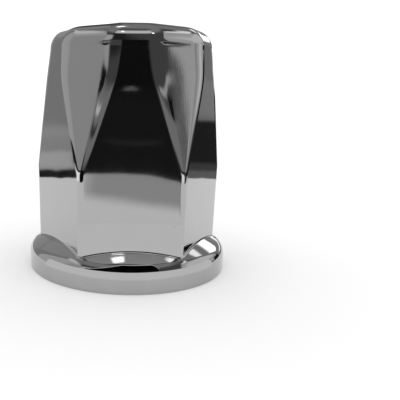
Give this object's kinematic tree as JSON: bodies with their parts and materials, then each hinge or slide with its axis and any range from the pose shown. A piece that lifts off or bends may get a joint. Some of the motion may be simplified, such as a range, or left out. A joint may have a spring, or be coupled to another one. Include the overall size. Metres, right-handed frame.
{
  "type": "wheel nut cover cap",
  "caption": "Push-on hexagonal cover cap for a wheel nut, pressed from thin chromed steel, with leaning arrowhead facets at its upper corners and a round dished flange.",
  "frame": {"origin": "centre of the open rim's plane, on the cap's axis", "axes": "+Z along the axis, from the open rim to the crown; one flat of the hexagon faces -Y, and two of its corners lie on the X axis"},
  "size_m": [0.0444, 0.0444, 0.0502],
  "materials": {
    "chrome": "bright chrome plate on pressed steel, polished outside and inside"
  },
  "bodies": {
    "root": {"nut_cover": "chrome"}
  },
  "joints": []
}
